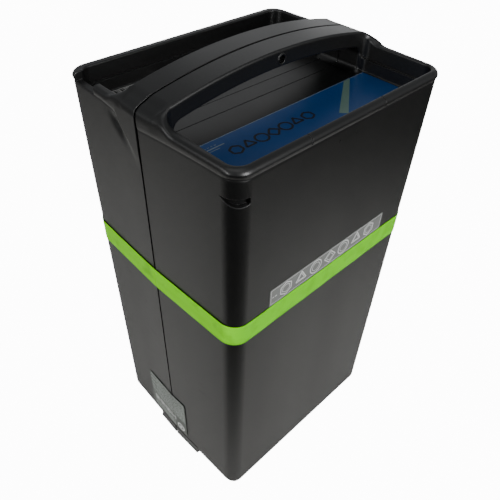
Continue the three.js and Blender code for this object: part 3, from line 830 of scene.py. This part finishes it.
def add_sheet(name, us, low, high, place):
    """A closed thin sheet that reaches from low(u) to high(u) at each u."""
    per_column = SHEET_ROWS + 1
    points = []
    for w in (0.0, FILM):
        for u in us:
            bottom, top = low(u), high(u)
            points += [place(u, bottom + (top - bottom) * row / SHEET_ROWS, w) for row in range(per_column)]
    layer = per_column * len(us)
    faces = []
    for i in range(len(us) - 1):
        a, b = i * per_column, (i + 1) * per_column
        for j in range(SHEET_ROWS):
            faces.append((a + j, a + j + 1, b + j + 1, b + j))
            faces.append((layer + a + j, layer + b + j, layer + b + j + 1, layer + a + j + 1))
        faces.append((a, b, layer + b, layer + a))
        faces.append((a + SHEET_ROWS, layer + a + SHEET_ROWS, layer + b + SHEET_ROWS, b + SHEET_ROWS))
    last = (len(us) - 1) * per_column
    for j in range(SHEET_ROWS):
        faces.append((j, layer + j, layer + j + 1, j + 1))
        faces.append((last + j, last + j + 1, layer + last + j + 1, layer + last + j))
    return add_piece(name, points, faces, smooth=False)


def eased_steps(start, stop, radius):
    """Positions along a side, close together where its rounded corners turn."""
    turn = [radius * (1 - math.cos(math.radians(angle))) for angle in CORNER_ANGLES]
    straight = stop - start - 2 * radius
    inner = [start + radius + straight * i / SHEET_COLUMNS for i in range(1, SHEET_COLUMNS)]
    return [start + t for t in turn] + inner + [stop - t for t in reversed(turn)]


def corner_drop(u, start, stop, radius):
    """How far a rounded corner pulls the long edge in at u."""
    near = min(u - start, stop - u)
    if near >= radius:
        return 0.0
    return radius - math.sqrt(max(radius**2 - (radius - near) ** 2, 0.0))


def rounded_edge(level, inward, start, stop, radius):
    """A long edge at that level. Its ends turn inward, up (1) or down (-1), round the corners."""
    return lambda u: level + inward * corner_drop(u, start, stop, radius)


def lay_film(name, node, place, columns, low, high, material):
    """A film in place of a CAD label."""
    film = add_sheet(name, columns, low, high, place)
    film.data.materials.append(material)
    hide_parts(node)


def add_ink(name, outlines, place, material):
    """Printed shapes on a film, each a closed convex outline in film coordinates."""
    points = []
    faces = []
    for outline in outlines:
        base = len(points)
        count = len(outline)
        points += [place(u, v, w) for w in (FILM, FILM + INK) for u, v in outline]
        faces.append(tuple(range(base + count - 1, base - 1, -1)))
        faces.append(tuple(range(base + count, base + 2 * count)))
        for i in range(count):
            j = (i + 1) % count
            faces.append((base + i, base + j, base + count + j, base + count + i))
    ink = add_piece(name, points, faces, smooth=False)
    ink.data.materials.append(material)


def bar(u0, v0, u1, v1):
    return [(u0, v0), (u1, v0), (u1, v1), (u0, v1)]


def stroke(start, end, width):
    """A straight stroke between two points."""
    along = np.subtract(end, start)
    side = np.array((-along[1], along[0])) / max(np.linalg.norm(along), 1e-6) * width / 2
    return [tuple(start - side), tuple(end - side), tuple(end + side), tuple(start + side)]


def loop_strokes(corners, width):
    return [stroke(np.array(a), np.array(b), width) for a, b in zip(corners, corners[1:] + corners[:1])]


def polygon(cu, cv, radius, sides, squash=1.0, turn=0.0):
    angles = [turn + 2 * math.pi * i / sides for i in range(sides)]
    return [(cu + radius * squash * math.cos(t), cv + radius * math.sin(t)) for t in angles]


FIGURE_SIDES = (6, 3, 16, 4, 16, 3, 6)
FIGURE_SQUASH = 1.05


def emblem(start, pitch, middle, radius, width):
    """A row of plain outlined figures: six-sided, three-sided, round and four-sided, then back again."""
    strokes = []
    for i, sides in enumerate(FIGURE_SIDES):
        figure = polygon(start + pitch * i, middle, radius, sides, FIGURE_SQUASH, turn=math.pi / 2)
        strokes += loop_strokes(figure, width)
    return strokes


def dashes(draw, start, stop, level, height, words=(1.2, 5.0), gap=0.8):
    """A line of fine print: short dashes of uneven length."""
    row = []
    u = start
    while u < stop - words[0]:
        length = min(draw.uniform(*words), stop - u)
        row.append(bar(u, level, u + length, level + height))
        u += length + gap
    return row


# ---- Band ----

SIDE_STEPS = 40
SIDE_EASE = 1.5
FACE_STEPS = 19
ARC_STEPS = 12
BAND_STEPS = 10


def case_outline():
    """Points and outward directions round the case in plan, starting at the left seam."""
    straight = CASE.half_depth - CASE.corner
    centre_x = CASE.half_width_face - CASE.corner
    quarter = []
    for i in range(SIDE_STEPS + 1):
        y = straight * (i / SIDE_STEPS) ** SIDE_EASE
        quarter.append(((half_width(y), y), (1.0, 0.0)))
    for i in range(1, ARC_STEPS + 1):
        turn = math.pi / 2 * i / ARC_STEPS
        out = (math.cos(turn), math.sin(turn))
        quarter.append(((centre_x + CASE.corner * out[0], straight + CASE.corner * out[1]), out))
    for i in range(1, FACE_STEPS + 1):
        x = centre_x * (1 - i / FACE_STEPS)
        quarter.append(((x, CASE.half_depth), (0.0, 1.0)))

    def mirrored(sx, sy):
        return [((sx * x, sy * y), (sx * a, sy * b)) for (x, y), (a, b) in quarter]

    front = mirrored(-1, -1) + mirrored(1, -1)[-2::-1]
    rear = mirrored(1, 1)[1:] + mirrored(-1, 1)[-2:0:-1]
    return front + rear


def band_section():
    """The tape's cross-section, as (outset, height) pairs."""
    low, high = BAND.low, BAND.high
    inner, outer = BAND.gap, BAND.gap + BAND.thickness
    section = [(inner, low + BAND.edge_inner), (outer, low + BAND.edge_outer)]
    section += [(outer, low + (high - low) * i / BAND_STEPS) for i in range(1, BAND_STEPS)]
    section += [(outer, high - BAND.edge_outer), (inner, high - BAND.edge_inner)]
    return section


def make_band():
    """The green tape: it sinks a little into the seam, and its edges waver as a hand-laid tape's do."""
    low, high = BAND.low, BAND.high
    share_at_edge = BAND.edge_share
    section = band_section()
    ring = case_outline()
    points = []
    for (x, y), (a, b) in ring:
        sink = BAND.sink * hill(y, BAND.sink_width) * (abs(x) > BAND.side_x)
        pucker = BAND.pucker * hill(y - BAND.pucker_y, BAND.pucker_width) * (x < -BAND.side_x)
        for outset, z in section:
            middle = 1 - abs(2 * (z - low) / (high - low) - 1) ** 4
            share = (share_at_edge + (1 - share_at_edge) * middle) * (outset > BAND.gap)
            raised = outset - (sink - pucker) * share
            waver = sum(rise * math.sin(per_x * x + per_y * y + first) for rise, per_x, per_y, first in WAVES)
            points.append((x + a * raised, y + b * raised, z + waver))
    count = len(section)
    faces = []
    for i in range(len(ring)):
        here, there = i * count, ((i + 1) % len(ring)) * count
        for j in range(count):
            k = (j + 1) % count
            faces.append((here + j, there + j, there + k, here + k))
    band = add_piece("green_tape", points, faces)
    band.data.materials.append(make_band_film())
    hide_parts("green_band")


# ---- Labels ----
# Film coordinates: u along the film, v across it, and w out from the case.


def on_floor(u, v, w):
    return (u, v, TRAY.floor + FILM_GAP + w)


def on_front(u, v, w):
    return (u, -CASE.half_depth - FILM_GAP - w, v)


def on_left(u, v, w):
    return (-half_width(u) - FILM_GAP - w, u, v)


def node_span(node, axis):
    low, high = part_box(node)
    return low[axis] / MM, high[axis] / MM


def make_top_label():
    """Blue film on the floor of the front tray, with a pale stripe, a row of dark figures, fine lines, and a
    painted highlight: a pale line along its rear edge.
    """
    left, right = node_span("top_label", X)
    front, rear = node_span("top_label", Y)
    corner = 5.0
    lay_film(
        "blue_film",
        "top_label",
        on_floor,
        eased_steps(left, right, corner),
        rounded_edge(front, 1, left, right, corner),
        lambda u: rear,
        make_film("tray_film", tone(0.0003, 0.043, 0.165), 0.32, wrinkle=0.04, cloudy=0.10, dust=0.01),
    )
    pale = make_film("stripe_ink", tone(0.10, 0.17, 0.145), 0.35, coat=0.2)
    dark = make_film("figure_ink", tone(0.0005, 0.001, 0.002), 0.5, cloudy=0.1, dust=0.0)
    white = make_film("line_ink_and_edge_highlight", tone(0.16, 0.20, 0.24), 0.4, coat=0.1)
    stripe = [(64.0, -22.4), (24.5, -50.2), (28.8, -54.6), (71.0, -22.4)]
    add_ink("blue_film_stripe", [stripe], on_floor, pale)
    figures = emblem(start=-56.0, pitch=10.4, middle=-39.0, radius=4.4, width=1.5)
    add_ink("blue_film_figures", figures, on_floor, dark)
    lines = [bar(-74, -29.6, -57, -28.7), bar(-72, -31.6, -62, -31.1)]
    lines += [bar(-84 + 2.6 * i, -27.2, -82.4 + 2.6 * i, -26.7) for i in range(9)]
    # Painted highlight: a pale line along the film's rear edge, where the edge catches the light.
    lines.append(bar(left + 0.4, rear - 0.7, right - 0.4, rear - 0.25))
    add_ink("blue_film_lines_and_edge_highlight", lines, on_floor, white)


def make_barcode_label():
    """Pale sticker on the floor of the rear tray, with dark bars and fine print."""
    left, right = node_span("barcode_label", X)
    front, rear = node_span("barcode_label", Y)
    corner = 1.5
    margin = 3.0
    lay_film(
        "barcode_sticker",
        "barcode_label",
        on_floor,
        eased_steps(left, right, corner),
        rounded_edge(front, 1, left, right, corner),
        rounded_edge(rear, -1, left, right, corner),
        make_film("barcode_paper", tone(0.30, 0.30, 0.29), 0.6, wrinkle=0.6, cloudy=0.3),
    )
    draw = np.random.default_rng(7)
    bars = []
    u = left + margin
    while u < right - margin - 1:
        width = draw.choice((0.5, 0.9, 1.5))
        bars.append(bar(u, front + 7.5, u + width, rear - 2.2))
        u += width + draw.choice((0.5, 0.9, 1.3))
    for row in range(3):
        bars += dashes(draw, left + margin, right - margin, front + 1.6 + 1.9 * row, 0.8)
    add_ink("barcode_print", bars, on_floor, make_film("barcode_ink", tone(0.015, 0.015, 0.015), 0.5))


def make_name_plate():
    """Silver film above the band, with a row of white outlined figures."""
    left, right = node_span("name_plate", X)
    low, high = node_span("name_plate", Z)
    corner = 1.0
    below_node = 0.4
    lay_film(
        "silver_film",
        "name_plate",
        on_front,
        eased_steps(left, right, corner),
        rounded_edge(low - below_node, 1, left, right, corner),
        rounded_edge(high, -1, left, right, corner),
        make_film("name_film", tone(0.125, 0.13, 0.125), 0.42, wrinkle=0.6, coat=0.25, cloudy=0.45),
    )
    middle = (low + high) / 2
    first = left + 15.5
    figures = emblem(first, pitch=15.2, middle=middle, radius=5.6, width=0.9)
    figures += emblem(first, pitch=15.2, middle=middle, radius=3.6, width=0.45)
    figures += loop_strokes(bar(left + 1.2, low + 1.0, right - 1.2, high - 1.2), width=0.3)
    figures += dashes(np.random.default_rng(3), left + 2.4, left + 7, middle - 1, 0.7)
    white = make_film("figure_white", tone(0.58, 0.59, 0.58), 0.5, cloudy=0.1)
    add_ink("silver_film_figures", figures, on_front, white)


def rating_icons(front, low):
    """Four framed shapes in a row, and a ring with a dot."""
    icons = []
    frame_size, frame_pitch = 6, 9
    for i in range(4):
        start = front + 16 + frame_pitch * i
        icons += loop_strokes(bar(start, low + 13, start + frame_size, low + 13 + frame_size), width=0.6)
        icons += [polygon(start + frame_size / 2, low + 16, 1.5, 3 + i)]
    icons += loop_strokes(polygon(front + 8.5, low + 8, 4.4, 24), width=1.3)
    icons += [polygon(front + 8.5, low + 8, 1.6, 12)]
    return icons


def rating_print(front, rear, low, high):
    """Sixteen lines of fine print from the top down, every third one short, and four beside the ring."""
    draw = np.random.default_rng(11)
    words = (1.0, 4.2)
    margin = 1.4
    marks = []
    for row in range(16):
        level = high - 2.0 - 2.0 * row
        marks += dashes(draw, front + margin, rear - margin - 8 * (row % 3 == 2), level, 0.75, words)
    for row in range(4):
        marks += dashes(draw, front + 17, rear - 4, low + 2.6 + 2.2 * row, 0.8, words)
    return marks


def make_rating_label():
    """Smoky film across the seam, covered in pale fine print with a few small symbols."""
    front, rear = node_span("rating_label", Y)
    low, high = node_span("rating_label", Z)
    corner = 2.0
    seam = 0.0
    lay_film(
        "rating_film",
        "rating_label",
        on_left,
        sorted(eased_steps(front, rear, corner) + [seam]),
        rounded_edge(low, 1, front, rear, corner),
        rounded_edge(high, -1, front, rear, corner),
        make_film("rating_film", tone(0.013, 0.021, 0.015), 0.34, wrinkle=0.5, coat=0.2, cloudy=0.6),
    )
    pale = make_film("fine_print", tone(0.36, 0.41, 0.37), 0.5, cloudy=0.6)
    add_ink("rating_print", rating_print(front, rear, low, high), on_left, pale)
    bright = make_film("icon_ink", tone(0.85, 0.88, 0.85), 0.5)
    add_ink("rating_icons", rating_icons(front, low), on_left, bright)


# ---- Screws ----

SCREW_GRID = 0.16
SCREW_MARGIN = 0.4


def screw_field(cx, cz, seat, tip, head_end, bolt):
    """A socket-head screw along Y: its head runs from seat to head_end and its thread from seat to tip."""
    outward = 1 if head_end > seat else -1
    head_span = sorted((seat, head_end))
    shank_span = sorted((seat, tip))

    def field(x, y, z):
        away = np.hypot(x - cx, z - cz)
        head = meet_round(away - bolt.head_radius, span(y, *head_span), SCREW.head_edge)
        turn = np.arctan2(z - cz, x - cx)
        thread = SCREW.thread * np.sin(2 * math.pi * y / SCREW.pitch + turn)
        taper = SCREW.tip_taper * step_up(SCREW.tip, 0, np.abs(y - tip))
        shank = meet(away - bolt.shank_radius + SCREW.thread_inset - thread + taper, span(y, *shank_span))
        hexagon = meet(np.abs(x - cx), np.abs(x - cx) / 2 + np.abs(z - cz) * math.sqrt(0.75))
        depth = outward * (head_end - y) - SCREW.socket_depth
        socket = meet(hexagon - SCREW.socket_share * bolt.head_radius, depth)
        return cut_round(np.minimum(head, shank), socket, SCREW.socket_edge)

    return field


def make_screw(name, node, cx, cz, seat, tip, head_end, bolt):
    reach = bolt.head_radius + SCREW_MARGIN
    start, stop = sorted((tip, head_end))
    planes = (
        grid_line((cx - reach, cx + reach, SCREW_GRID)),
        grid_line((start - SCREW_MARGIN, stop + SCREW_MARGIN, SCREW_GRID)),
        grid_line((cz - reach, cz + reach, SCREW_GRID)),
    )
    field = screw_field(cx, cz, seat, tip, head_end, bolt)
    add_moulded_piece(name, node, screw_steel, field, planes)


def make_handle_screw():
    """The screw in the handle's eye, entered from the front."""
    tip = node_span("handle_screw", Y)[1]
    seat = HANDLE_BOLT.seat
    head_end = seat - HANDLE_BOLT.head_height
    make_screw("handle_bolt", "handle_screw", SCREW_EYE.x, SCREW_EYE.z, seat, tip, head_end, HANDLE_BOLT)


def make_case_screws():
    """The four screws that close the case, entered from the rear."""
    for number in range(1, 5):
        node = f"case_screw_{number}"
        low, high = (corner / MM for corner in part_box(node))
        cx, cz = (low.x + high.x) / 2, (low.z + high.z) / 2
        seat = high.y - CASE_BOLT.head_height
        make_screw(f"case_bolt_{number}", node, cx, cz, seat, low.y, high.y, CASE_BOLT)


# ---- Insides ----

# Family of nodes: material name, colour, roughness, colour spread, mottle scale, grain scale, bump.
GRAINED = {
    "case_gasket": ("gasket_rubber", tone(0.02, 0.02, 0.02), 0.75, 0.3, 40, 900, 0.3),
    "cell_frame": ("frame_plastic", tone(0.05, 0.05, 0.052), 0.55, 0.2, 50, 700, 0.25),
    "middle_insulator": ("insulation_sheet", tone(0.52, 0.50, 0.42), 0.7, 0.12, 90, 500, 0.2),
    "foam_pad": ("foam", tone(0.11, 0.11, 0.115), 0.95, 0.35, 240, 420, 0.8),
    "cradle": ("cradle_plastic", tone(0.06, 0.06, 0.065), 0.5, 0.2, 50, 800, 0.2),
    "main_fuse": ("fuse_body", tone(0.62, 0.60, 0.55), 0.35, 0.1, 60, 900, 0.1),
    "positive_lead": ("red_wire", tone(0.42, 0.015, 0.012), 0.4, 0.15, 60, 600, 0.15),
    "negative_lead": ("black_wire", tone(0.018, 0.018, 0.02), 0.4, 0.2, 60, 600, 0.15),
    "balance_harness": ("ribbon_wire", tone(0.33, 0.33, 0.35), 0.5, 0.15, 120, 700, 0.2),
    "dock_housing": ("connector_plastic", tone(0.03, 0.03, 0.033), 0.45, 0.2, 60, 1000, 0.2),
}
BEVEL = 0.15


def dress_insides():
    """Finishes and small bevels for the carried-over nodes, by the family in each one's name."""
    finishes = {family: make_grained(*values) for family, values in GRAINED.items()}
    finishes["cell_group"] = make_cell_jacket()
    finishes["management_board"] = make_circuit_board()
    finishes["heat_sink"] = make_metal("heat_sink_metal", tone(0.62, 0.63, 0.65), 0.35, (1, 8, 1))
    finishes["contact"] = make_metal("contact_metal", tone(0.80, 0.62, 0.36), 0.25)
    for name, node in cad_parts.items():
        if node.hide_render:
            continue
        family = next(part for part in finishes if part in name)
        node.data.materials.clear()
        node.data.materials.append(finishes[family])
        bevel = node.modifiers.new("soft_edges", "BEVEL")
        bevel.width = BEVEL * MM
        bevel.segments = 1
        bevel.limit_method = "ANGLE"


case_plastic = make_case_plastic()
screw_steel = make_metal("screw_steel", tone(0.22, 0.22, 0.23), 0.35, (1, 6, 1))
make_shell(FRONT, "front_case_half", "front_shell")
make_shell(REAR, "rear_case_half", "rear_shell")
make_band()
make_top_label()
make_barcode_label()
make_name_plate()
make_rating_label()
make_handle_screw()
make_case_screws()
dress_insides()

# ---- Stage, light and camera, in metres and watts ----

BACKDROP = 14.0
# near_zone, right_zone, left_zone and brightness shape the painted pool of light in the floor paper's colour.
FLOOR = Values(
    half_size=6.0,
    glow_share=0.93,
    near_zone=(0.05, 0.33),
    right_zone=(0.22, 0.68),
    left_zone=(-1.1, -0.35),
    brightness=(0.72, 0.80),
    tint=tone(1, 0.985, 0.945),
)
WORLD = Values(colour=tone(0.95, 0.98, 1), strength=0.32)
# Name: place, target, width, height, power.
LAMPS = {
    "top_light": ((-0.3, -0.3, 2.3), (0, 0, 0.2), 1.6, 1.6, 8),
    "left_light": ((-1.6, 0.7, 0.9), (0, 0, 0.3), 0.4, 1.2, 5),
    "left_strip": ((-1.8, -0.1, 0.75), (0, 0, 0.34), 0.3, 0.8, 13),
    "right_light": ((0.8, -1.6, 0.9), (0, 0, 0.3), 0.4, 1.2, 4),
    "right_strip": ((-0.1, -1.8, 0.75), (0, 0, 0.34), 0.3, 0.8, 32),
    "back_light": ((2.6, 1.3, 0.75), (0, 0, 0.35), 1.2, 0.9, 2.8),
    "rear_light": ((1.6, 1.9, 1.3), (0, 0, 0.35), 1.0, 1.0, 1.6),
}
CAMERA = Values(
    azimuth=-45.2635,
    elevation=42.8202,
    roll=2.2618,
    place=(-0.23427, -0.22985, 0.49575),
    lens=37.344,
    sensor=36,
    nearest=0.01,
)


def make_floor_paper():
    """Pale paper that the camera sees evenly bright. Its colour holds a painted pool of light round the
    object: the light that it throws back on the object fades away from it on the near side and, further out,
    to the left and right."""
    n = Nodes("floor_paper")
    towards = n.times(n.math("ADD", n.axis("X"), n.axis("Y")), -DIAGONAL)
    across = n.times(n.math("SUBTRACT", n.axis("X"), n.axis("Y")), DIAGONAL)
    # Painted pool of light: the paper's colour is full near the object and darkens on the near side and far
    # out to the left and right.
    near_side = n.fade(towards, FLOOR.near_zone, 1.0, 0.02)
    right_side = n.fade(across, FLOOR.right_zone, 1.0, 0.05)
    left_side = n.fade(across, FLOOR.left_zone, 0.3, 1.0)
    painted_light_pool = n.times(near_side, n.times(right_side, left_side))
    painted_pool_share = n.times(painted_light_pool, n.vary(n.noise(3, 2), *FLOOR.brightness))
    n.set(Base_Color=n.mix(painted_pool_share, BLACK, FLOOR.tint), Roughness=1.0, Specular_IOR_Level=0.0)
    glow = n.add("ShaderNodeEmission", {"Color": WHITE, "Strength": BACKDROP})
    seen = n.add("ShaderNodeLightPath").outputs["Is Camera Ray"]
    blend = n.add("ShaderNodeMixShader", {0: n.times(seen, FLOOR.glow_share)})
    n.feed(blend.inputs[1], n.shader.outputs[0])
    n.feed(blend.inputs[2], glow.outputs[0])
    n.feed(n.tree.nodes["Material Output"].inputs["Surface"], blend.outputs[0])
    return n.material


def make_floor():
    half = FLOOR.half_size
    mesh = bpy.data.meshes.new("floor")
    corners = [(-half, -half, 0), (half, -half, 0), (half, half, 0), (-half, half, 0)]
    mesh.from_pydata(corners, [], [(0, 1, 2, 3)])
    mesh.materials.append(make_floor_paper())
    floor = bpy.data.objects.new("floor", mesh)
    bpy.context.scene.collection.objects.link(floor)


def make_world():
    """Soft light from all round. The camera sees the same even backdrop behind the floor's edge."""
    world = bpy.data.worlds.new("studio")
    world.use_nodes = True
    tree = world.node_tree
    light = tree.nodes["Background"]
    light.inputs["Color"].default_value = WORLD.colour
    light.inputs["Strength"].default_value = WORLD.strength
    backdrop = tree.nodes.new("ShaderNodeBackground")
    backdrop.inputs["Color"].default_value = WHITE
    backdrop.inputs["Strength"].default_value = BACKDROP
    blend = tree.nodes.new("ShaderNodeMixShader")
    seen = tree.nodes.new("ShaderNodeLightPath").outputs["Is Camera Ray"]
    tree.links.new(seen, blend.inputs[0])
    tree.links.new(light.outputs[0], blend.inputs[1])
    tree.links.new(backdrop.outputs[0], blend.inputs[2])
    tree.links.new(blend.outputs[0], tree.nodes["World Output"].inputs["Surface"])
    bpy.context.scene.world = world


def add_lamp(name, place, target, width, height, power):
    light = bpy.data.lights.new(name, "AREA")
    light.shape = "RECTANGLE"
    light.size = width
    light.size_y = height
    light.energy = power
    lamp = bpy.data.objects.new(name, light)
    lamp.location = place
    aim = Vector(target) - Vector(place)
    lamp.rotation_euler = aim.to_track_quat("-Z", "Y").to_euler()
    bpy.context.scene.collection.objects.link(lamp)


def make_camera():
    """The camera at the photograph's viewing angle."""
    angles = (CAMERA.azimuth, CAMERA.elevation, CAMERA.roll)
    azimuth, elevation, roll = map(math.radians, angles)
    level = math.cos(elevation)
    back = Vector((math.sin(azimuth) * level, -math.cos(azimuth) * level, math.sin(elevation)))
    right = Vector((0, 0, 1)).cross(back).normalized()
    up = back.cross(right)
    rolled_right = math.cos(roll) * right + math.sin(roll) * up
    rolled_up = -math.sin(roll) * right + math.cos(roll) * up
    data = bpy.data.cameras.new("camera")
    data.lens = CAMERA.lens
    data.sensor_width = CAMERA.sensor
    data.clip_start = CAMERA.nearest
    camera = bpy.data.objects.new("camera", data)
    turn = Matrix((rolled_right, rolled_up, back)).transposed().to_4x4()
    camera.matrix_world = Matrix.Translation(CAMERA.place) @ turn
    bpy.context.scene.collection.objects.link(camera)
    bpy.context.scene.camera = camera


make_floor()
make_world()
for lamp_name, settings in LAMPS.items():
    add_lamp(lamp_name, *settings)
make_camera()
